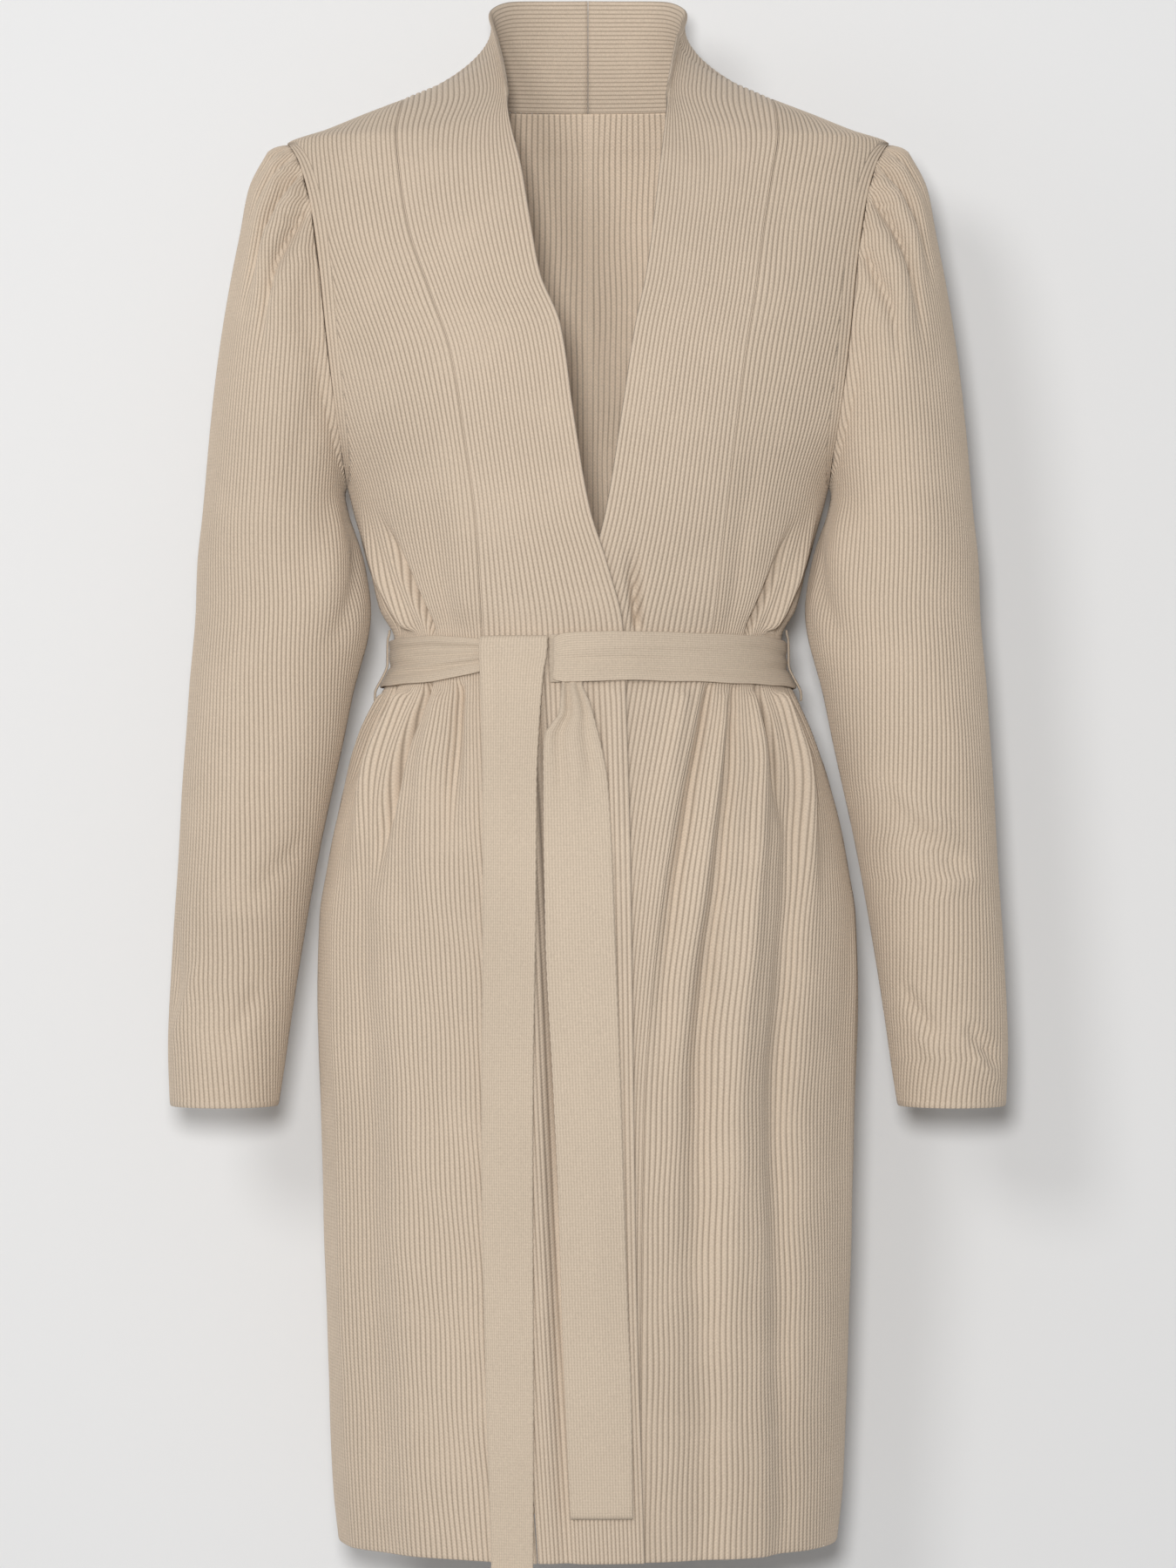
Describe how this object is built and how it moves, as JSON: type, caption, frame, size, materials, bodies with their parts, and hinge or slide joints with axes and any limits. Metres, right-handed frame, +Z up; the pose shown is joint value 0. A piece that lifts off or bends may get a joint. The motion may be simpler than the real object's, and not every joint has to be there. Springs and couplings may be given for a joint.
{
  "type": "long cardigan",
  "caption": "Long rib-knit cardigan worn by nobody, with a shawl-like band round neck and fronts, long set-in sleeves and a tied belt.",
  "frame": {"origin": "middle of the neck base, at the height where the shoulder seams meet the neck, where the wearer's shoulders hold it", "axes": "+Z up, -Y to the front, +X to the wearer's left"},
  "size_m": [0.5266, 0.2551, 0.9934],
  "materials": {
    "rib_knit": "matte fine rib knit in warm beige",
    "belt_knit": "matte fine flat knit in warm beige"
  },
  "bodies": {
    "root": {"back": "rib_knit", "front_right": "rib_knit", "front_left": "rib_knit", "band_right": "rib_knit", "band_left": "rib_knit", "sleeve_right": "rib_knit", "sleeve_left": "rib_knit", "belt_waist": "belt_knit", "belt_knot": "belt_knit", "belt_tail_front": "belt_knit", "belt_tail_under": "belt_knit", "belt_loop_right": "belt_knit", "belt_loop_left": "belt_knit"}
  },
  "joints": []
}
